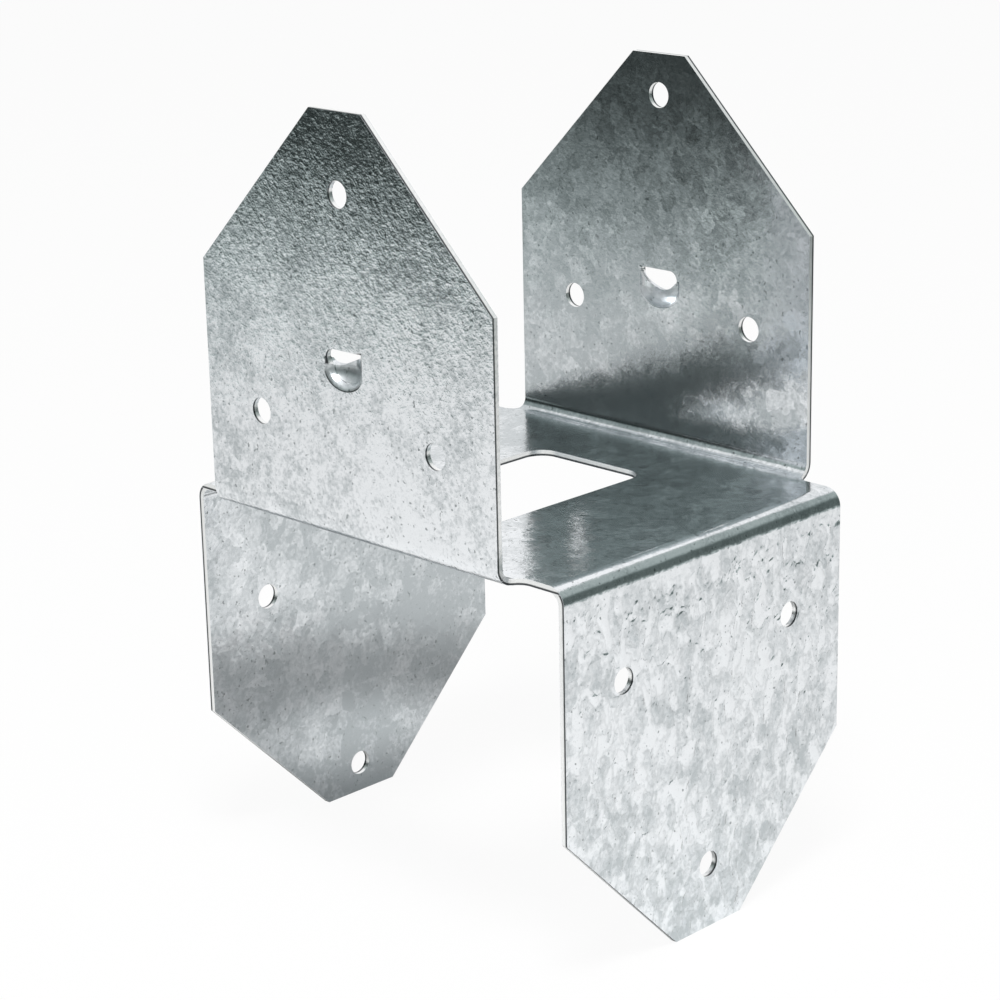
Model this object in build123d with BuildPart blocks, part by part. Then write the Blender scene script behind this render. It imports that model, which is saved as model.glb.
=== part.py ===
from build123d import *
import math
import os

# A post cap: one sheet of galvanised steel, cut as a cross and folded four times.
# Two flanges stand up and hold a beam between them, and two hang down and hold a post.
# X runs along the beam, from one lower flange to the other, and Y across it. The origin is the
# middle of the plate's underside, where the head of the post bears, and Z points up to the beam.

# Sheet
SHEET = 1.2                    # thickness of the steel
BEND_INSIDE = 2.1              # radius inside each fold

# Clear widths between the flanges
BEAM_GAP = 79.6                # along Y, between the upper flanges
POST_GAP = 90.5                # along X, between the lower flanges

# Flange outlines, each height taken from the face of the plate that the flange stands on
UPPER_WIDTH = 71.8
UPPER_HEIGHT = 74.0
UPPER_TIP = 12.6               # width of the flat end
LOWER_HEIGHT = 72.2
LOWER_TIP = 17.4
TAPER_ANGLE = 45.0             # between the sheared corner and the flange's side
NOTCH_RADIUS = 3.0             # rounding of the plate between two neighbouring flanges
FOLD_CLEARANCE = 1.3           # flat steel between an upper fold and the side of a lower flange

# Nail holes: a pair low on each flange, and a single one near its tip
NAIL_HOLE = 4.8                # diameter
UPPER_PAIR_SPACING = 43.8
LOWER_PAIR_SPACING = 44.0
PAIR_HEIGHT = 18.8             # from the plate to a near flange's pair
UPPER_TIP_MARGIN = 14.0        # from the near upper flange's end to its single hole
LOWER_TIP_MARGIN = 12.2        # from the near lower flange's end to its single hole
STAGGER = 6.3                  # how much further out the opposite flange's holes are

# Opening in the middle of the plate
OPENING_X = 26.8
OPENING_Y = 41.2
OPENING_RADIUS = 4.0

# Pressed tooth on each upper flange: a tapered slot, whose lower lip is pushed in as half a bowl
SLOT_LENGTH = 8.8
SLOT_OPEN_END = 3.5            # height of the slot at its wide end
SLOT_NARROW_END = 0.8          # and at the other one
SLOT_TOP = 33.2                # upper edge of the slot above the plate
BOWL_RADIUS = 5.0              # inner side of the bowl, seen from above
BOWL_DEPTH = 2.6               # how far it is pressed in from the flange's outer face
BOWL_DROP = 3.5                # from the lip down to the bowl's lowest point, on the same side
BOWL_WALL = 1.0                # the pressed steel is a little thinner than the sheet
BOWL_ROOT = 0.5                # rounding where the bowl leaves the flange's inner face
BOWL_RIM = 0.9                 # rounding of the dent's edge on the outer face
LIP_RISE = 7.0                 # how many degrees the bowl's lip rises as it leaves the flange

bend_outside = BEND_INSIDE + SHEET
lower_width = BEAM_GAP - 2 * (BEND_INSIDE + FOLD_CLEARANCE)
upper_single = UPPER_HEIGHT - UPPER_TIP_MARGIN
lower_single = LOWER_HEIGHT - LOWER_TIP_MARGIN
upper_face = BEAM_GAP / 2 + SHEET      # from the middle to an upper flange's outer face
lower_face = POST_GAP / 2 + SHEET      # from the middle to a lower flange's outer face
open_radius, narrow_radius = SLOT_OPEN_END / 2, SLOT_NARROW_END / 2
open_middle = Vector(open_radius - SLOT_LENGTH / 2, SLOT_TOP - open_radius)
narrow_middle = Vector(SLOT_LENGTH / 2 - narrow_radius, SLOT_TOP - narrow_radius)
slot_middle = (open_middle + narrow_middle).Y / 2
lip_height = SLOT_TOP - SLOT_OPEN_END
reach = UPPER_HEIGHT + LOWER_HEIGHT    # more than the part's height from the plate either way
PICK = 0.01                            # how near an edge lies to the face that it is picked by

# Sections are drawn with their second axis pointing away from the plate, towards the flanges' tips
upward_section = Plane.YZ
upward_front = Plane.XZ
downward_section = Plane((0, 0, SHEET), x_dir=(1, 0, 0), z_dir=(0, 1, 0))
downward_front = Plane((0, 0, SHEET), x_dir=(0, 1, 0), z_dir=(-1, 0, 0))

# Outer faces of the flanges, measured from the face of the plate that each stands on
near_upper = Plane((0, -upper_face, SHEET), x_dir=(1, 0, 0), z_dir=(0, -1, 0))
far_upper = Plane((0, upper_face, SHEET), x_dir=(-1, 0, 0), z_dir=(0, 1, 0))
near_lower = Plane((lower_face, 0, 0), x_dir=(0, -1, 0), z_dir=(1, 0, 0))
far_lower = Plane((-lower_face, 0, 0), x_dir=(0, 1, 0), z_dir=(-1, 0, 0))


def channel_section(gap, height):
    """The sheet seen along a pair of folds: the plate with a flange at each end."""
    outer, tip = gap / 2 + SHEET, height + SHEET
    with BuildSketch() as section:
        with BuildLine():
            FilletPolyline((-outer, tip), (-outer, 0), (outer, 0), (outer, tip), radius=bend_outside)
            offset(amount=SHEET, side=Side.LEFT)
        make_face()
    return section.sketch


def flange_outline(width, height, tip, foot_width):
    """A flange seen from the front, with two sheared corners, and the plate and folds at its foot."""
    side, top = width / 2, height + SHEET
    shoulder = top - (width - tip) / 2 / math.tan(math.radians(TAPER_ANGLE))
    with BuildSketch() as outline:
        with BuildLine():
            Polyline(
                (-side, 0), (side, 0), (side, shoulder), (tip / 2, top),
                (-tip / 2, top), (-side, shoulder), close=True,
            )
        make_face()
        Rectangle(foot_width, bend_outside, align=(Align.CENTER, Align.MIN))
    return outline.sketch


def folded_channel(section, front, gap, width, height, tip, foot_width):
    """The plate with one pair of flanges."""
    with BuildPart() as channel:
        with BuildSketch(section):
            add(channel_section(gap, height))
        extrude(amount=foot_width / 2, both=True)
        with BuildSketch(front):
            add(flange_outline(width, height, tip, foot_width))
        extrude(amount=gap, both=True, mode=Mode.INTERSECT)
    return channel.part


def plan_outline():
    """The cross that the sheet covers from above, with its four inner corners rounded."""
    with BuildSketch() as cross:
        Rectangle(UPPER_WIDTH, 2 * upper_face + SHEET)
        Rectangle(2 * lower_face + SHEET, lower_width)
        inner = cross.vertices().filter_by(lambda v: abs(v.X) < lower_face and abs(v.Y) < upper_face)
        fillet(inner, NOTCH_RADIUS)
    return cross.sketch


def nail_drills(face, pair_spacing, single, stagger):
    """The three holes of one flange, drilled from its outer face."""
    half, pair = pair_spacing / 2, PAIR_HEIGHT + stagger
    with BuildPart() as drills:
        with BuildSketch(face):
            with Locations((-half, pair), (half, pair), (0, single + stagger)):
                Circle(NAIL_HOLE / 2)
        extrude(amount=-2 * SHEET)
    return drills.part


def half_bowl(face, radius, drop):
    """Half a bowl that bulges inwards from a flange's outer face, up to the slot's middle line."""
    back = face.offset(BOWL_RADIUS - BOWL_DEPTH)
    with BuildPart() as bowl:
        with BuildSketch(back):
            with BuildLine():
                top = Line((0, SLOT_TOP), (radius, SLOT_TOP))
                Line(top @ 1, (radius, lip_height))
                foot = EllipticalCenterArc((0, lip_height), radius, drop, start_angle=-90, arc_size=90)
                Line(foot @ 0, top @ 0)
            make_face()
        revolve(axis=Axis(back.origin, (0, 0, 1)), revolution_arc=180)
        slope = (narrow_middle - open_middle).normalized() * SLOT_LENGTH
        start, end = open_middle - slope, narrow_middle + slope
        with BuildSketch(back):
            with BuildLine():
                Polyline(start, end, (end.X, 0), (start.X, 0), close=True)
            make_face()
        extrude(amount=-2 * radius, mode=Mode.INTERSECT)
    return bowl.part


def bowl_edges(part, face_y):
    """The edges round a bowl that lie in one plane of a flange, but for the straight one on top."""
    low, high = SHEET + slot_middle - SLOT_LENGTH + PICK, SHEET + slot_middle - PICK
    in_plane = part.edges().filter_by_position(Axis.Y, face_y - PICK, face_y + PICK)
    centred = in_plane.filter_by(lambda e: abs(e.center().X) < SLOT_LENGTH - PICK)
    return centred.filter_by(lambda e: low < e.center().Z < high)


def slab(plane, thickness):
    """A square plate round the slot, that stands on a plane along the flange."""
    with BuildPart() as plate:
        with BuildSketch(plane):
            with Locations((0, slot_middle)):
                Rectangle(2 * SLOT_LENGTH, 2 * SLOT_LENGTH)
        extrude(amount=thickness)
    return plate.part


def bowl_on_slab(face, thickness, radius, drop, blend):
    """Half a bowl on a slab that lies against the outer face, with the corner between them rounded.

    A slab of negative thickness is a patch of the flange itself, and the bowl stands on its far side.
    """
    with BuildPart() as tool:
        add(slab(face, thickness))
        add(half_bowl(face, radius, drop))
        add(slab(face.offset(max(thickness, 0)), -2 * radius), mode=Mode.INTERSECT)
        corner_y = face.origin.Y + face.z_dir.Y * min(thickness, 0)
        fillet(bowl_edges(tool, corner_y), blend)
    return tool.part


def slot_punch(face):
    """The slot above the bowl, pierced through the flange and on, a little upwards, through the bowl."""
    inward = -face.z_dir + Vector(0, 0, math.tan(math.radians(LIP_RISE)))
    with BuildPart() as punch:
        with BuildSketch(face):
            with Locations(open_middle):
                Circle(open_radius)
            with Locations(narrow_middle):
                Circle(narrow_radius)
            make_hull()
        extrude(amount=BOWL_DEPTH + 2 * BOWL_WALL, dir=inward)
    return punch.part


upper_channel = folded_channel(
    upward_section, upward_front, BEAM_GAP, UPPER_WIDTH, UPPER_HEIGHT, UPPER_TIP,
    foot_width=UPPER_WIDTH + 2 * NOTCH_RADIUS,
)
lower_channel = folded_channel(
    downward_section, downward_front, POST_GAP, lower_width, LOWER_HEIGHT, LOWER_TIP,
    foot_width=lower_width,
)

with BuildPart() as cap_sheet:
    add(upper_channel)
    add(lower_channel)
    with BuildSketch(Plane.XY):
        add(plan_outline())
    extrude(amount=reach, both=True, mode=Mode.INTERSECT)

    with BuildSketch(Plane.XY):
        RectangleRounded(OPENING_X, OPENING_Y, OPENING_RADIUS)
    extrude(amount=SHEET, mode=Mode.SUBTRACT)

    for flange_face, spacing, single, stagger in [
        (near_upper, UPPER_PAIR_SPACING, upper_single, 0),
        (far_upper, UPPER_PAIR_SPACING, upper_single, STAGGER),
        (near_lower, LOWER_PAIR_SPACING, lower_single, 0),
        (far_lower, LOWER_PAIR_SPACING, lower_single, STAGGER),
    ]:
        add(nail_drills(flange_face, spacing, single, stagger), mode=Mode.SUBTRACT)

    for flange_face in (near_upper, far_upper):
        outer_radius, outer_drop = BOWL_RADIUS + BOWL_WALL, BOWL_DROP + BOWL_WALL
        add(bowl_on_slab(flange_face, -SHEET, outer_radius, outer_drop, BOWL_ROOT))
        add(bowl_on_slab(flange_face, SHEET, BOWL_RADIUS, BOWL_DROP, BOWL_RIM), mode=Mode.SUBTRACT)
        add(slot_punch(flange_face), mode=Mode.SUBTRACT)

cap_sheet.part.label = "cap_sheet"
os.makedirs("parts", exist_ok=True)
export_step(cap_sheet.part, "parts/cap_sheet.step")
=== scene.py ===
import math

import bmesh
import bpy
from bpy.props import FloatProperty, FloatVectorProperty, PointerProperty
from bpy.types import Operator, Panel, PropertyGroup
from mathutils import Matrix, Vector


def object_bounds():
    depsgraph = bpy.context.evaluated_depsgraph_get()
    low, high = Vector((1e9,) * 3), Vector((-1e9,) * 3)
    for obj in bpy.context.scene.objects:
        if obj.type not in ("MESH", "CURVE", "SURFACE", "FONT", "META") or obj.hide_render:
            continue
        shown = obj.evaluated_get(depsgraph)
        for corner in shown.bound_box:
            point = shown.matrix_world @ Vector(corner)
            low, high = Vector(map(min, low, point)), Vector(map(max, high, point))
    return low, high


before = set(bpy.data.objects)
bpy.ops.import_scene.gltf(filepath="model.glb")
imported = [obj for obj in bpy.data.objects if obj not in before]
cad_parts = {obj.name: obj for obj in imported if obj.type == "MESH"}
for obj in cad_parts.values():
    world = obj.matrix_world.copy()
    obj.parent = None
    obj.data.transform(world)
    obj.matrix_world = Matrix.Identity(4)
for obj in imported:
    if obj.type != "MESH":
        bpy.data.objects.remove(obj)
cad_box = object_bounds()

bl_info = {
    "name": "Post cap",
    "version": (1, 0, 0),
    "blender": (4, 5, 0),
    "location": "3D View > Sidebar > Post cap",
    "description": "Finishes a folded galvanised post cap and sets it on a studio floor",
    "category": "Object",
}

# Lengths are in metres. X runs along the beam, Y across it and Z up, and the origin is in the middle of
# the plate's underside. Near is the photographed side, towards +X and -Y.
MM = 0.001
FLOOR_LEVEL = cad_box[0][2]
WHITE = (1, 1, 1, 1)
MEAN_NOISE = 0.5
MEAN_COLOUR = (MEAN_NOISE,) * 3         # of a random one

# Where the zinc changes, and where shade and light are painted on it: each pair is where a change starts and
# where it is complete
PEBBLED_Y = -39.7 * MM, -39.9 * MM      # across the near upper flange's inner face, outwards
LEAFY_X = 45.7 * MM, 46.2 * MM          # from the near lower flange's middle outwards
LEAFY_Z = -1.5 * MM, -5.0 * MM          # from the same flange's fold down
PAINTED_TIP_SHADE_Z = -35 * MM, -70 * MM           # and from its middle to its tip, over which shade is painted
PAINTED_SHADE_SPAN = -32 * MM, 16 * MM            # along TO_CAMERA, from the far flanges to the near ones, for painted shade and light
TO_CAMERA = 0.707, -0.707, 0
ZINC_SHADE = 0.54, 1.16                 # shades that give the dull and the bright colour
FAR_PAINTED_SHADE, NEAR_PAINTED_LIGHT = -0.23, 0.19     # painted shade on the far flanges and painted light on the near ones, at the two ends of that span
TIP_PAINTED_SHADE = -0.22                       # painted shade, added in full at the flange's tip

# The zinc's pattern, whose sizes are counted in crystals or in grains
WANDER_SCALE = 0.8                      # bends along a crystal's edge
WANDER_REACH = 1.3                      # how far the edge is bent
RIPPLE_SCALE = 1.15                     # ripples in the width of a grain
LEAF_SCALE = 1.1                        # leaves in the width of a crystal
LEAF_SLANT = math.radians(18)
LEAF_STRETCH = 1, 1, 0.6                # less than 1 is longer
LEAF_EDGE = 0.20                        # rise in the noise from the bottom of the creases to a leaf's full height
CREASE_EDGE = 0.05                      # and to the edge of the shade painted along the creases
# how deep the painted shade in the creases is
CREASE_PAINTED_SHADE = 0.24
SPECK_NOISE = 0.33, 0.23                # low noise in which a speck starts, and is complete
CRYSTAL_TILT = 0.02, 0.01               # off the sheet's normal, and the same in the pebbled skin
GRAIN_TILT = 0.02, 0.03

# A cut shows below the sheet's faces, and a pressed tooth's skin lies off them without being cut
CUT_DEPTH = 0.02 * MM, 0.08 * MM
TORN_SHARE = 0.28, 0.42                 # of the sheet, from the torn part to the burnished one
PRESSED_DEPTH = 0.05 * MM, 0.2 * MM     # past the sheet's other face
TOOTH_HEIGHT = 30.9 * MM                # a tooth's lip, above the plate's underside
TOOTH_REACH = 7.2 * MM, 6.8 * MM        # from the middle of the lip, past the tooth's rounded edge
TOOTH_TOP = 0.7 * MM, 0.3 * MM          # above the lip
PAST_PLATE = -10.0                      # makes a distance past the plate look like a thick wall

# The dark card's bands: heights in the part's frame, places along X, and brightness there
LOW_BAND_TOP = -8 * MM
LOW_BAND_GLOW = 0.92, 0.03
HIGH_BAND = 115 * MM, 215 * MM
HIGH_BAND_GLOW = 0.40
SLOPED_X = -320 * MM, -260 * MM         # where the low band's top slopes down
SLOPE = -10 * MM, 20 * MM
RIGHT_X = -100 * MM, 200 * MM           # where the card grows lighter to the right
RIGHT_GLOW = 0.13

FLOOR_RADIUS = 3.0
ROUND_SEGMENTS = 96
LAMP_PLACE = 0.25, -0.25, 0.85
CAMERA_PLACE = 0.337893, -0.343021, 0.149319
CAMERA_TURNS = (44.908, "Z"), (72.593, "X"), (-1.2, "Z")    # degrees
CAMERA_SENSOR, CAMERA_LENS = 36.0, 99.246                   # millimetres


def linear(hex_colour):
    """An sRGB hex colour as linear red, green and blue."""
    parts = [int(hex_colour[i:i + 2], 16) / 255 for i in (1, 3, 5)]
    return tuple(c / 12.92 if c <= 0.04045 else ((c + 0.055) / 1.055) ** 2.4 for c in parts)


def node(tree, kind, links=None, out=0, **settings):
    """Adds one node, sets its properties, fills its sockets with values or links, and returns an output."""
    new = tree.nodes.new(kind)
    for name, value in settings.items():
        setattr(new, name, value)
    for socket, value in (links or {}).items():
        if isinstance(value, bpy.types.NodeSocket):
            tree.links.new(value, new.inputs[socket])
        else:
            new.inputs[socket].default_value = value
    return new.outputs[out] if new.outputs else None


def empty_tree(owner):
    """The node tree of a new material or world, with nothing in it."""
    owner.use_nodes = True
    owner.node_tree.nodes.clear()
    return owner.node_tree


class PostCapZinc(PropertyGroup):
    """The hot-dip zinc on the sheet."""
    bright: FloatVectorProperty(
        name="Bright zinc", description="Crystals that catch the light", subtype="COLOR",
        size=3, min=0, max=1, default=linear("#F0F3F6"))
    dull: FloatVectorProperty(
        name="Dull zinc", description="Crystals turned away from the light", subtype="COLOR",
        size=3, min=0, max=1, default=linear("#BFC5C8"))
    # The colour of the specks of dross, which also paints the shade in the leafy skin's creases
    fleck_and_crease_shade: FloatVectorProperty(
        name="Fleck", description="Specks of dross, and creases in the leafy skin", subtype="COLOR",
        size=3, min=0, max=1, default=linear("#969C9E"))
    torn: FloatVectorProperty(
        name="Torn edge", description="The rough part of a sheared edge", subtype="COLOR",
        size=3, min=0, max=1, default=linear("#4B4E50"))
    burnished: FloatVectorProperty(
        name="Burnished edge", description="The smooth part of a sheared edge", subtype="COLOR",
        size=3, min=0, max=1, default=linear("#F4F5F5"))
    crystal: FloatProperty(
        name="Crystal size", description="Usual width of one zinc crystal", unit="LENGTH",
        subtype="DISTANCE", min=0.0005, default=3.2 * MM)
    grain: FloatProperty(
        name="Grain size", description="Usual width of the small grains inside a crystal", unit="LENGTH",
        subtype="DISTANCE", min=0.0001, default=0.9 * MM)
    speck: FloatProperty(
        name="Speck size", description="Usual width of one dark speck", unit="LENGTH",
        subtype="DISTANCE", min=0.0001, default=0.8 * MM)
    cloud: FloatProperty(
        name="Cloud size", description="Usual width of one cloudy patch", unit="LENGTH",
        subtype="DISTANCE", min=0.001, default=16 * MM)
    crystal_contrast: FloatProperty(
        name="Crystal contrast", description="How far the crystals' greys differ", subtype="FACTOR",
        min=0, soft_max=2, default=0.30)
    grain_contrast: FloatProperty(
        name="Grain contrast", description="How far the small grains' greys differ", subtype="FACTOR",
        min=0, soft_max=2, default=0.24)
    cloud_contrast: FloatProperty(
        name="Cloud contrast", description="How far the cloudy patches' greys differ", subtype="FACTOR",
        min=0, soft_max=2, default=1.1)
    # The leafy skin's greys are painted shading of its leaves' relief
    leaf_painted_shading: FloatProperty(
        name="Leaf contrast", description="How far the greys differ in the leafy skin", subtype="FACTOR",
        min=0, soft_max=2, default=1.4)
    # The ripples' greys are painted shade of their relief, lighter on the crests and dimmer in the hollows;
    # the next setting does the same on the pebbled skin
    ripple_painted_shade: FloatProperty(
        name="Ripple contrast", description="How far the ripples' greys differ", subtype="FACTOR",
        min=0, soft_max=2, default=0.6)
    pebble_painted_shade: FloatProperty(
        name="Pebble contrast", description="The same in the pebbled skin", subtype="FACTOR",
        min=0, soft_max=2, default=1.3)
    bright_roughness: FloatProperty(
        name="Bright roughness", description="Roughness of the brightest zinc", subtype="FACTOR",
        min=0, max=1, default=0.13)
    dull_roughness: FloatProperty(
        name="Dull roughness", description="Roughness of the dullest zinc", subtype="FACTOR",
        min=0, max=1, default=0.20)
    tooth_roughness: FloatProperty(
        name="Tooth roughness", description="Roughness where the zinc was stretched over a pressed tooth",
        subtype="FACTOR", min=0, max=1, default=0.42)
    edge_roughness: FloatProperty(
        name="Edge roughness", description="Roughness of a sheared edge", subtype="FACTOR",
        min=0, max=1, default=0.3)
    ripple_height: FloatProperty(
        name="Ripple height", description="Depth of the ripples in the zinc", unit="LENGTH",
        subtype="DISTANCE", min=0, default=0.012 * MM)
    pebble_height: FloatProperty(
        name="Pebble height", description="The same in the pebbled skin", unit="LENGTH",
        subtype="DISTANCE", min=0, default=0.055 * MM)
    leaf_height: FloatProperty(
        name="Leaf height", description="Depth of the creases in the leafy skin", unit="LENGTH",
        subtype="DISTANCE", min=0, default=0.17 * MM)
    springback: FloatProperty(
        name="Springback", description="How far the upper flanges seem to lean apart in what they reflect",
        unit="ROTATION", subtype="ANGLE", min=0, default=math.radians(0.8))
    sheet: FloatProperty(
        name="Sheet", description="Thickness of the steel", unit="LENGTH",
        subtype="DISTANCE", min=0.0005, default=1.2 * MM)
    bend: FloatProperty(
        name="Bend", description="Radius outside each fold", unit="LENGTH",
        subtype="DISTANCE", min=0.001, default=3.3 * MM)
    beam_gap: FloatProperty(
        name="Beam gap", description="Clear width between the upper flanges", unit="LENGTH",
        subtype="DISTANCE", min=0.01, default=cad_box[1][1] * 2 - 2.4 * MM)
    post_gap: FloatProperty(
        name="Post gap", description="Clear width between the lower flanges", unit="LENGTH",
        subtype="DISTANCE", min=0.01, default=cad_box[1][0] * 2 - 2.4 * MM)


class PostCapStudio(PropertyGroup):
    """The floor, the surround and the lamp."""
    floor: FloatVectorProperty(
        name="Floor", description="Colour of the paper on the floor", subtype="COLOR",
        size=3, min=0, max=1, default=linear("#F6F6F5"))
    floor_lift: FloatProperty(
        name="Floor lift", description="How far the floor the camera sees is lifted to pure white",
        subtype="FACTOR", min=0, max=1, default=0.94)
    reflected_lift: FloatProperty(
        name="Reflected lift", description="The share of that in the floor that the steel reflects",
        subtype="FACTOR", min=0, max=1, default=0.15)
    air: FloatProperty(
        name="Air", description="Brightness of the light from all round", subtype="FACTOR",
        min=0, max=1, default=0.35)
    surround: FloatVectorProperty(
        name="Surround", description="Tint of the dark card that the steel reflects", subtype="COLOR",
        size=3, min=0, max=1, default=linear("#E4FFFA"))
    surround_radius: FloatProperty(
        name="Surround radius", description="From the middle to the dark card", unit="LENGTH",
        subtype="DISTANCE", min=0.2, default=0.42)
    surround_height: FloatProperty(
        name="Surround height", description="Height of the dark card above the floor", unit="LENGTH",
        subtype="DISTANCE", min=0.05, default=0.52)
    backdrop: FloatProperty(
        name="Backdrop", description="Angle behind the cap that the dark card leaves open", unit="ROTATION",
        subtype="ANGLE", min=0.1, default=math.radians(110))
    lamp_size: FloatProperty(
        name="Lamp size", description="Width of the soft lamp overhead", unit="LENGTH",
        subtype="DISTANCE", min=0.1, default=0.25)
    lamp_power: FloatProperty(
        name="Lamp power", description="Power of the soft lamp overhead", unit="POWER",
        min=0, default=7.1)


def sheared_edge(tree, place, zinc):
    """Where the sheet isn't level with its rolled faces, from 0 to 1, and the depth below the outer face."""
    sheet, bend = zinc.sheet, zinc.bend
    x, y, z = (node(tree, "ShaderNodeSeparateXYZ", {0: place}, out=i) for i in range(3))
    below_plate_top = node(tree, "ShaderNodeMath", {0: sheet, 1: z}, operation="SUBTRACT")
    depths, walls = [], []
    for across, away, gap in ((y, z, zinc.beam_gap), (x, below_plate_top, zinc.post_gap)):
        side = node(tree, "ShaderNodeMath", {0: across}, operation="ABSOLUTE")
        side = node(tree, "ShaderNodeMath", {0: side, 1: gap / 2 + sheet - bend}, operation="SUBTRACT")
        side = node(tree, "ShaderNodeMath", {0: side, 1: 0.0}, operation="MAXIMUM")
        foot = node(tree, "ShaderNodeMath", {0: away, 1: bend}, operation="SUBTRACT")
        foot = node(tree, "ShaderNodeMath", {0: foot, 1: 0.0}, operation="MINIMUM")
        spoke = node(tree, "ShaderNodeCombineXYZ", {0: side, 1: foot})
        reach = node(tree, "ShaderNodeVectorMath", {0: spoke}, out="Value", operation="LENGTH")
        depth = node(tree, "ShaderNodeMath", {0: bend, 1: reach}, operation="SUBTRACT")
        rest = node(tree, "ShaderNodeMath", {0: sheet, 1: depth}, operation="SUBTRACT")
        wall = node(tree, "ShaderNodeMath", {0: depth, 1: rest}, operation="MINIMUM")
        # Past the plate this pair of flanges ends, so the other pair has to decide there
        beyond = node(tree, "ShaderNodeMath", {0: away, 1: PAST_PLATE}, operation="MULTIPLY")
        depths.append(depth)
        walls.append(node(tree, "ShaderNodeMath", {0: wall, 1: beyond}, operation="MAXIMUM"))
    both = node(tree, "ShaderNodeMath", {0: walls[0], 1: walls[1]}, operation="MINIMUM")
    cut = node(tree, "ShaderNodeMapRange", {0: both, 1: CUT_DEPTH[0], 2: CUT_DEPTH[1]})
    under_plate = node(tree, "ShaderNodeMath", {0: z, 1: 0.0}, operation="LESS_THAN")
    depth = node(tree, "ShaderNodeMix", {0: under_plate, 2: depths[0], 3: depths[1]})
    return cut, depth


def tooth_region(tree, place):
    """1 round the pressed teeth, below their slots, and 0 elsewhere."""
    x, z = (node(tree, "ShaderNodeSeparateXYZ", {0: place}, out=i) for i in (0, 2))
    above = node(tree, "ShaderNodeMath", {0: z, 1: TOOTH_HEIGHT}, operation="SUBTRACT")
    spoke = node(tree, "ShaderNodeCombineXYZ", {0: x, 2: above})
    reach = node(tree, "ShaderNodeVectorMath", {0: spoke}, out="Value", operation="LENGTH")
    round_lip = node(tree, "ShaderNodeMapRange", {0: reach, 1: TOOTH_REACH[0], 2: TOOTH_REACH[1]})
    under_lip = node(tree, "ShaderNodeMapRange", {0: above, 1: TOOTH_TOP[0], 2: TOOTH_TOP[1]})
    return node(tree, "ShaderNodeMath", {0: round_lip, 1: under_lip}, operation="MULTIPLY")


def near_skins(tree, place):
    """1 on the near upper flange's pebbled face, and 1 on the near lower one's leafy face."""
    x, y, z = (node(tree, "ShaderNodeSeparateXYZ", {0: place}, out=i) for i in range(3))
    pebbled = node(tree, "ShaderNodeMapRange", {0: y, 1: PEBBLED_Y[0], 2: PEBBLED_Y[1]})
    outside = node(tree, "ShaderNodeMapRange", {0: x, 1: LEAFY_X[0], 2: LEAFY_X[1]})
    hanging = node(tree, "ShaderNodeMapRange", {0: z, 1: LEAFY_Z[0], 2: LEAFY_Z[1]})
    leafy = node(tree, "ShaderNodeMath", {0: outside, 1: hanging}, operation="MULTIPLY")
    return pebbled, leafy


def zinc_crystals(tree, place, zinc):
    """A random colour for each crystal and one for each small grain, with edges that wander."""
    wander = node(tree, "ShaderNodeTexNoise", {
        "Vector": place, "Scale": WANDER_SCALE / zinc.crystal, "Detail": 3.0, "Roughness": 0.6}, out="Color")
    drift = node(tree, "ShaderNodeVectorMath", {0: wander, 1: MEAN_COLOUR}, operation="SUBTRACT")
    bent = node(tree, "ShaderNodeVectorMath", {
        0: drift, 1: (WANDER_REACH * zinc.crystal,) * 3, 2: place}, operation="MULTIPLY_ADD")
    return [
        node(tree, "ShaderNodeTexVoronoi", {
            "Vector": bent, "Scale": 1 / width, "Randomness": 1.0}, out="Color")
        for width in (zinc.crystal, zinc.grain)]


def leafy_skin(tree, place, leafy, zinc):
    """Leaf-like swellings: how light each is painted for its relief, how high it stands, and the shade
    painted in the creases between.
    """
    slant = node(tree, "ShaderNodeMapping", {
        "Vector": place, "Rotation": (LEAF_SLANT, 0, 0), "Scale": LEAF_STRETCH}, vector_type="POINT")
    leaves = node(tree, "ShaderNodeTexNoise", {
        "Vector": slant, "Scale": LEAF_SCALE / zinc.crystal, "Detail": 2.2, "Roughness": 0.5,
        "Distortion": 0.4})
    swell = node(tree, "ShaderNodeMath", {0: leaves, 1: MEAN_NOISE}, operation="SUBTRACT")
    from_crease = node(tree, "ShaderNodeMath", {0: swell}, operation="ABSOLUTE")
    rise = node(tree, "ShaderNodeMapRange", {0: from_crease, 1: 0.0, 2: LEAF_EDGE})
    painted_crease_shade = node(tree, "ShaderNodeMapRange", {
        0: from_crease, 1: 0.0, 2: CREASE_EDGE, 3: CREASE_PAINTED_SHADE, 4: 0.0})
    return [
        node(tree, "ShaderNodeMath", {0: part, 1: leafy}, operation="MULTIPLY")
        for part in (swell, rise, painted_crease_shade)]


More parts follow.
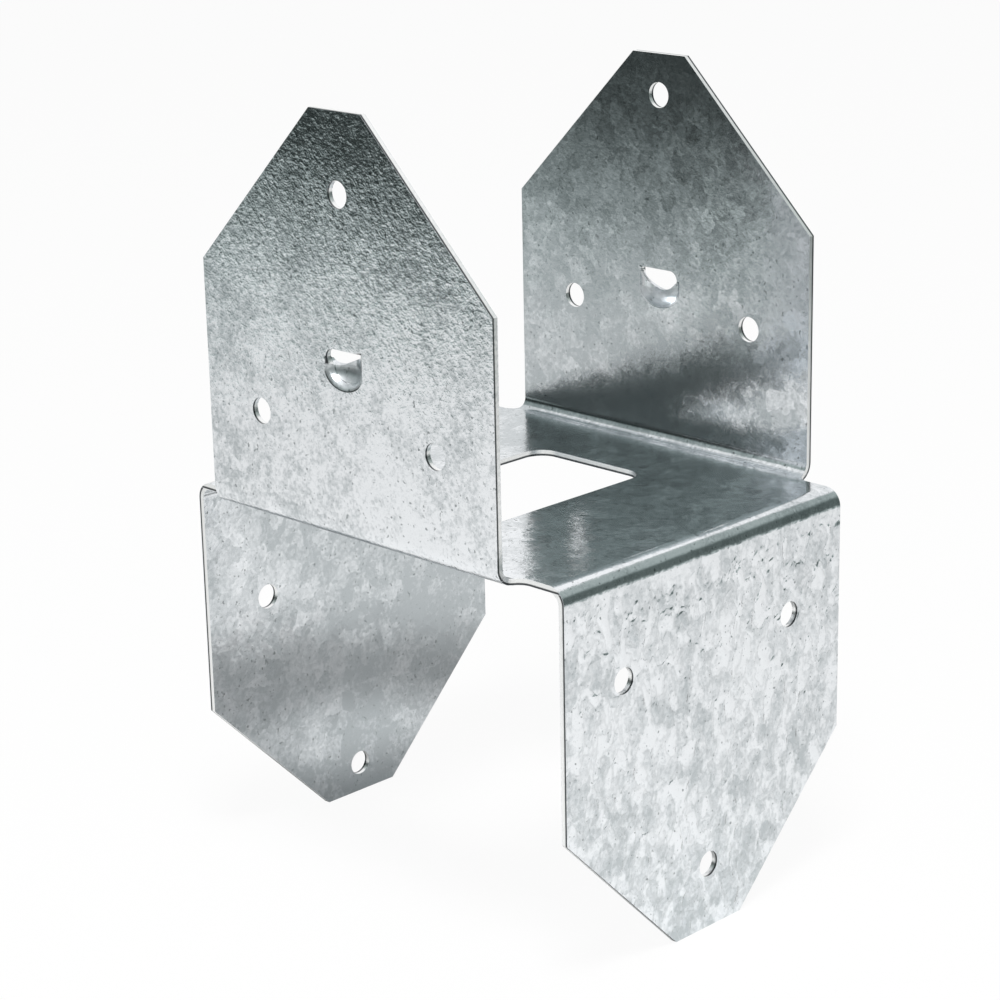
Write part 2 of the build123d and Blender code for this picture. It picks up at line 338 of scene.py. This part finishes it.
def zinc_shade(tree, place, crystals, grains, ripple, swell, pebbled, leafy, zinc):
    """How bright the zinc is, about 0.5 where it is dull and 1.2 where it is bright, with painted shade and
    light on the ripples, on the leaves, across the flanges and at the near lower flange's tip.
    """
    crystal_grey, grain_grey = (
        node(tree, "ShaderNodeSeparateColor", {0: colours}) for colours in (crystals, grains))
    clouds = node(tree, "ShaderNodeTexNoise", {
        "Vector": place, "Scale": 1 / zinc.cloud, "Detail": 4.0, "Roughness": 0.62})
    # Painted shade and light: the far flanges dimmer and the near ones lighter, standing in for what they
    # reflect
    nearness = node(
        tree, "ShaderNodeVectorMath", {0: place, 1: TO_CAMERA}, out="Value", operation="DOT_PRODUCT")
    painted_light_and_shade = node(tree, "ShaderNodeMapRange", {
        0: nearness, 1: PAINTED_SHADE_SPAN[0], 2: PAINTED_SHADE_SPAN[1], 3: FAR_PAINTED_SHADE, 4: NEAR_PAINTED_LIGHT})
    # Painted shade of the ripples' relief, lighter on their crests and dimmer in their hollows, stronger on
    # the pebbled skin
    painted_ripple_shade = node(tree, "ShaderNodeMath", {0: ripple, 1: MEAN_NOISE}, operation="SUBTRACT")
    ripple_shade_strength = node(tree, "ShaderNodeMapRange", {
        0: pebbled, 3: zinc.ripple_painted_shade, 4: zinc.pebble_painted_shade})
    height = node(tree, "ShaderNodeSeparateXYZ", {0: place}, out="Z")
    # Painted shade that deepens down the near lower flange towards its tip
    painted_tip_shade = node(tree, "ShaderNodeMapRange", {
        0: height, 1: PAINTED_TIP_SHADE_Z[0], 2: PAINTED_TIP_SHADE_Z[1], 3: 0.0, 4: TIP_PAINTED_SHADE})
    painted_tip_shade = node(tree, "ShaderNodeMath", {0: painted_tip_shade, 1: leafy}, operation="MULTIPLY")

    shade = node(tree, "ShaderNodeMath", {0: crystal_grey, 1: zinc.crystal_contrast}, operation="MULTIPLY")
    shade = node(tree, "ShaderNodeMath", {
        0: grain_grey, 1: zinc.grain_contrast, 2: shade}, operation="MULTIPLY_ADD")
    shade = node(tree, "ShaderNodeMath", {
        0: clouds, 1: zinc.cloud_contrast, 2: shade}, operation="MULTIPLY_ADD")
    shade = node(tree, "ShaderNodeMath", {0: shade, 1: painted_light_and_shade}, operation="ADD")
    shade = node(tree, "ShaderNodeMath", {0: painted_ripple_shade, 1: ripple_shade_strength, 2: shade}, operation="MULTIPLY_ADD")
    # Painted shading of the leaves, lighter and dimmer with their relief
    shade = node(tree, "ShaderNodeMath", {
        0: swell, 1: zinc.leaf_painted_shading, 2: shade}, operation="MULTIPLY_ADD")
    return node(tree, "ShaderNodeMath", {0: shade, 1: painted_tip_shade}, operation="ADD")


def zinc_colour(tree, place, shade, painted_crease_shade, zinc):
    """Bright to dull zinc, with dark specks of dross and the shade painted in the creases."""
    tone = node(tree, "ShaderNodeMapRange", {0: shade, 1: ZINC_SHADE[0], 2: ZINC_SHADE[1]})
    body = node(tree, "ShaderNodeMix", {
        0: tone, 6: (*zinc.dull, 1), 7: (*zinc.bright, 1)}, out=2, data_type="RGBA")
    specks = node(tree, "ShaderNodeTexNoise", {
        "Vector": place, "Scale": 1 / zinc.speck, "Detail": 1.0, "Roughness": 0.5})
    spots = node(tree, "ShaderNodeMapRange", {0: specks, 1: SPECK_NOISE[0], 2: SPECK_NOISE[1]})
    # The painted shade in the creases takes the same colour as the specks of dross
    spots = node(tree, "ShaderNodeMath", {0: spots, 1: painted_crease_shade}, operation="MAXIMUM")
    return node(tree, "ShaderNodeMix", {0: spots, 6: body, 7: (*zinc.fleck_and_crease_shade, 1)}, out=2, data_type="RGBA")


def zinc_facets(tree, place, crystals, grains, pebbled, zinc):
    """The normal of each crystal and grain, a little off the sheet's own, and leaning with the flanges."""
    face = node(tree, "ShaderNodeNewGeometry", out="Normal")
    facet = face
    for colours, shares in ((crystals, CRYSTAL_TILT), (grains, GRAIN_TILT)):
        tilt = node(tree, "ShaderNodeVectorMath", {0: colours, 1: MEAN_COLOUR}, operation="SUBTRACT")
        share = node(tree, "ShaderNodeMapRange", {0: pebbled, 3: shares[0], 4: shares[1]})
        tilt = node(tree, "ShaderNodeVectorMath", {0: tilt, 3: share}, operation="SCALE")
        facet = node(tree, "ShaderNodeVectorMath", {0: facet, 1: tilt}, operation="ADD")
    outward = node(tree, "ShaderNodeSeparateXYZ", {0: face}, out="Y")
    across = node(tree, "ShaderNodeSeparateXYZ", {0: place}, out="Y")
    lean = node(tree, "ShaderNodeMapRange", {
        0: across, 1: -MM, 2: MM, 3: zinc.springback, 4: -zinc.springback})
    lean = node(tree, "ShaderNodeMath", {0: outward, 1: lean}, operation="MULTIPLY")
    lean = node(tree, "ShaderNodeCombineXYZ", {"Z": lean})
    facet = node(tree, "ShaderNodeVectorMath", {0: facet, 1: lean}, operation="ADD")
    return node(tree, "ShaderNodeVectorMath", {0: facet}, operation="NORMALIZE")


def galvanised_steel(zinc):
    """Hot-dip galvanised steel, with bare steel where the sheet was sheared."""
    # Hot-dip zinc is a metal with a satin gleam. Its crystals are patches of slightly different greys, with
    # cloudy areas and dark specks of dross between them. The real grains and ripples are finer than a
    # pixel, so they are drawn as coarse as they need to show.
    material = bpy.data.materials.new("galvanised_steel")
    tree = empty_tree(material)
    place = node(tree, "ShaderNodeTexCoord", out="Object")
    pebbled, leafy = near_skins(tree, place)
    crystals, grains = zinc_crystals(tree, place, zinc)
    swell, rise, painted_crease_shade = leafy_skin(tree, place, leafy, zinc)
    ripple = node(tree, "ShaderNodeTexNoise", {
        "Vector": place, "Scale": RIPPLE_SCALE / zinc.grain, "Detail": 2.0, "Roughness": 0.6})
    shade = zinc_shade(tree, place, crystals, grains, ripple, swell, pebbled, leafy, zinc)

    off_face, depth = sheared_edge(tree, place, zinc)
    tooth = tooth_region(tree, place)
    deep = node(tree, "ShaderNodeMapRange", {
        0: depth, 1: zinc.sheet + PRESSED_DEPTH[0], 2: zinc.sheet + PRESSED_DEPTH[1]})
    pressed = node(tree, "ShaderNodeMath", {0: off_face, 1: deep}, operation="MAXIMUM")
    pressed = node(tree, "ShaderNodeMath", {0: pressed, 1: tooth}, operation="MULTIPLY")
    elsewhere = node(tree, "ShaderNodeMath", {0: 1.0, 1: tooth}, operation="SUBTRACT")
    cut = node(tree, "ShaderNodeMath", {0: off_face, 1: elsewhere}, operation="MULTIPLY")

    burnished = node(tree, "ShaderNodeMapRange", {
        0: depth, 1: TORN_SHARE[0] * zinc.sheet, 2: TORN_SHARE[1] * zinc.sheet})
    edge = node(tree, "ShaderNodeMix", {
        0: burnished, 6: (*zinc.torn, 1), 7: (*zinc.burnished, 1)}, out=2, data_type="RGBA")
    colour = zinc_colour(tree, place, shade, painted_crease_shade, zinc)
    colour = node(tree, "ShaderNodeMix", {0: cut, 6: colour, 7: edge}, out=2, data_type="RGBA")

    roughness = node(tree, "ShaderNodeMapRange", {
        0: shade, 1: ZINC_SHADE[0], 2: ZINC_SHADE[1], 3: zinc.dull_roughness, 4: zinc.bright_roughness})
    roughness = node(tree, "ShaderNodeMix", {0: pressed, 2: roughness, 3: zinc.tooth_roughness})
    roughness = node(tree, "ShaderNodeMix", {0: cut, 2: roughness, 3: zinc.edge_roughness})

    relief = node(tree, "ShaderNodeMapRange", {0: pebbled, 3: zinc.ripple_height, 4: zinc.pebble_height})
    relief = node(tree, "ShaderNodeMath", {0: ripple, 1: relief}, operation="MULTIPLY")
    relief = node(tree, "ShaderNodeMath", {0: rise, 1: zinc.leaf_height, 2: relief}, operation="MULTIPLY_ADD")
    facets = zinc_facets(tree, place, crystals, grains, pebbled, zinc)
    bump = node(tree, "ShaderNodeBump", {
        "Strength": 1.0, "Distance": 1.0, "Height": relief, "Normal": facets})
    steel = node(tree, "ShaderNodeBsdfPrincipled", {
        "Base Color": colour, "Metallic": 1.0, "Roughness": roughness, "Normal": bump})
    node(tree, "ShaderNodeOutputMaterial", {"Surface": steel})
    return material


def shown_directly(tree, reflected):
    """1 where the camera or clear material looks, a share of it in reflections, and 0 for scattered light."""
    camera = node(tree, "ShaderNodeLightPath", out="Is Camera Ray")
    clear = node(tree, "ShaderNodeLightPath", out="Is Transmission Ray")
    gloss = node(tree, "ShaderNodeLightPath", out="Is Glossy Ray")
    gloss = node(tree, "ShaderNodeMath", {0: gloss, 1: reflected}, operation="MULTIPLY")
    either = node(tree, "ShaderNodeMath", {0: camera, 1: clear}, operation="MAXIMUM")
    return node(tree, "ShaderNodeMath", {0: either, 1: gloss}, operation="MAXIMUM")


def matt_white_paper(studio):
    """Paper that takes the cap's shadow and is lifted towards pure white where the camera sees it."""
    # Matt studio paper is an even white without gloss, so that it runs into the background
    material = bpy.data.materials.new("matt_white_paper")
    tree = empty_tree(material)
    matt = node(tree, "ShaderNodeBsdfDiffuse", {"Color": (*studio.floor, 1)})
    white = node(tree, "ShaderNodeEmission", {"Color": WHITE, "Strength": 1.0})
    lift = node(tree, "ShaderNodeMath", {
        0: shown_directly(tree, studio.reflected_lift), 1: studio.floor_lift}, operation="MULTIPLY")
    both = node(tree, "ShaderNodeMixShader", {0: lift, 1: matt, 2: white})
    node(tree, "ShaderNodeOutputMaterial", {"Surface": both})
    return material


def dark_card(studio):
    """Card with a bright foot, a lighter top and a lighter right side, tinted where it is dark."""
    # Studio card that only the steel sees, dark with lighter bands, for the gradients it reflects
    material = bpy.data.materials.new("dark_card")
    tree = empty_tree(material)
    place = node(tree, "ShaderNodeTexCoord", out="Object")
    x, z = (node(tree, "ShaderNodeSeparateXYZ", {0: place}, out=i) for i in (0, 2))
    slope = node(tree, "ShaderNodeMapRange", {
        0: x, 1: SLOPED_X[0], 2: SLOPED_X[1], 3: SLOPE[0], 4: SLOPE[1]})
    sloped = node(tree, "ShaderNodeMath", {0: z, 1: slope}, operation="ADD")
    low = node(tree, "ShaderNodeMapRange", {
        0: sloped, 1: FLOOR_LEVEL, 2: LOW_BAND_TOP, 3: LOW_BAND_GLOW[0], 4: LOW_BAND_GLOW[1]})
    high = node(tree, "ShaderNodeMapRange", {
        0: z, 1: HIGH_BAND[0], 2: HIGH_BAND[1], 3: 0.0, 4: HIGH_BAND_GLOW})
    glow = node(tree, "ShaderNodeMath", {0: low, 1: high}, operation="ADD")
    right = node(tree, "ShaderNodeMapRange", {0: x, 1: RIGHT_X[0], 2: RIGHT_X[1], 3: 0.0, 4: RIGHT_GLOW})
    glow = node(tree, "ShaderNodeMath", {0: glow, 1: right}, operation="MAXIMUM")
    tint = node(tree, "ShaderNodeMix", {
        0: glow, 6: (*studio.surround, 1), 7: WHITE}, out=2, data_type="RGBA")
    light = node(tree, "ShaderNodeEmission", {"Color": tint, "Strength": glow})
    node(tree, "ShaderNodeOutputMaterial", {"Surface": light})
    return material


def add_object(name, data):
    """A new object in the scene, that holds the data."""
    item = bpy.data.objects.new(name, data)
    bpy.context.scene.collection.objects.link(item)
    return item


def add_to_stage(name, shape, material):
    """Turns a finished bmesh into an object of the stage, which isn't part of the cap."""
    mesh = bpy.data.meshes.new(name)
    shape.to_mesh(mesh)
    shape.free()
    mesh.materials.append(material)
    item = add_object(name, mesh)
    return item


def add_floor(studio):
    """A round floor at the cap's lowest point."""
    disc = bmesh.new()
    bmesh.ops.create_circle(disc, cap_ends=True, segments=ROUND_SEGMENTS, radius=FLOOR_RADIUS)
    bmesh.ops.translate(disc, verts=disc.verts, vec=(0, 0, FLOOR_LEVEL))
    add_to_stage("floor", disc, matt_white_paper(studio))


def add_surround(studio):
    """A round wall of card that is open behind the cap, and that only reflections see."""
    radius, height = studio.surround_radius, studio.surround_height
    wall = bmesh.new()
    bmesh.ops.create_cone(
        wall, cap_ends=False, segments=ROUND_SEGMENTS, radius1=radius, radius2=radius, depth=height)
    bmesh.ops.translate(wall, verts=wall.verts, vec=(0, 0, FLOOR_LEVEL + height / 2))
    behind = Vector((-1, 1, 0))
    bmesh.ops.delete(wall, context="FACES", geom=[
        f for f in wall.faces
        if Vector((*f.calc_center_median().xy, 0)).angle(behind) < studio.backdrop / 2])
    surround = add_to_stage("surround", wall, dark_card(studio))
    surround.visible_camera = surround.visible_diffuse = surround.visible_shadow = False


def add_light(studio):
    """White all round, weaker where it lights matt surfaces, and one soft lamp overhead."""
    world = bpy.data.worlds.new("studio")
    bpy.context.scene.world = world
    tree = empty_tree(world)
    strength = node(tree, "ShaderNodeMapRange", {0: shown_directly(tree, 1.0), 3: studio.air, 4: 1.0})
    air = node(tree, "ShaderNodeBackground", {"Color": WHITE, "Strength": strength})
    node(tree, "ShaderNodeOutputWorld", {"Surface": air})

    lamp = bpy.data.lights.new("soft_lamp", "AREA")
    lamp.shape, lamp.size, lamp.energy = "SQUARE", studio.lamp_size, studio.lamp_power
    place = Vector(LAMP_PLACE)
    towards_cap = place.to_track_quat("Z", "Y").to_matrix().to_4x4()
    add_object("soft_lamp", lamp).matrix_world = Matrix.Translation(place) @ towards_cap


def add_camera():
    """The photograph's camera."""
    camera = bpy.data.cameras.new("camera")
    camera.sensor_width, camera.lens = CAMERA_SENSOR, CAMERA_LENS
    turn = Matrix.Identity(4)
    for degrees, axis in CAMERA_TURNS:
        turn = turn @ Matrix.Rotation(math.radians(degrees), 4, axis)
    camera_object = add_object("camera", camera)
    camera_object.matrix_world = Matrix.Translation(CAMERA_PLACE) @ turn
    bpy.context.scene.camera = camera_object


class POSTCAP_OT_sheet(Operator):
    """Gives the folded sheet its galvanised finish"""
    bl_idname = "postcap.sheet"
    bl_label = "Galvanised sheet"

    def execute(self, context):
        finish = galvanised_steel(context.scene.postcap_zinc)
        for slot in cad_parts["cap_sheet"].material_slots:
            slot.material = finish
        return {"FINISHED"}


class POSTCAP_OT_stage(Operator):
    """Adds the floor, the surround, the light and the camera"""
    bl_idname = "postcap.stage"
    bl_label = "Studio"

    def execute(self, context):
        studio = context.scene.postcap_studio
        add_floor(studio)
        add_surround(studio)
        add_light(studio)
        add_camera()
        context.scene.view_settings.view_transform = "Standard"
        return {"FINISHED"}


class POSTCAP_PT_panel(Panel):
    """The cap's and the studio's settings, with a button for each"""
    bl_label = "Post cap"
    bl_idname = "POSTCAP_PT_panel"
    bl_space_type = "VIEW_3D"
    bl_region_type = "UI"
    bl_category = "Post cap"

    def draw(self, context):
        for group, operator in (
            (context.scene.postcap_zinc, POSTCAP_OT_sheet),
            (context.scene.postcap_studio, POSTCAP_OT_stage),
        ):
            box = self.layout.box()
            for name in group.__annotations__:
                box.prop(group, name)
            box.operator(operator.bl_idname)


classes = (PostCapZinc, PostCapStudio, POSTCAP_OT_sheet, POSTCAP_OT_stage, POSTCAP_PT_panel)


def register():
    for item in classes:
        bpy.utils.register_class(item)
    bpy.types.Scene.postcap_zinc = PointerProperty(type=PostCapZinc)
    bpy.types.Scene.postcap_studio = PointerProperty(type=PostCapStudio)


def unregister():
    del bpy.types.Scene.postcap_studio
    del bpy.types.Scene.postcap_zinc
    for item in reversed(classes):
        bpy.utils.unregister_class(item)


def main():
    register()
    bpy.ops.postcap.sheet()
    bpy.ops.postcap.stage()


if __name__ == "__main__":
    main()
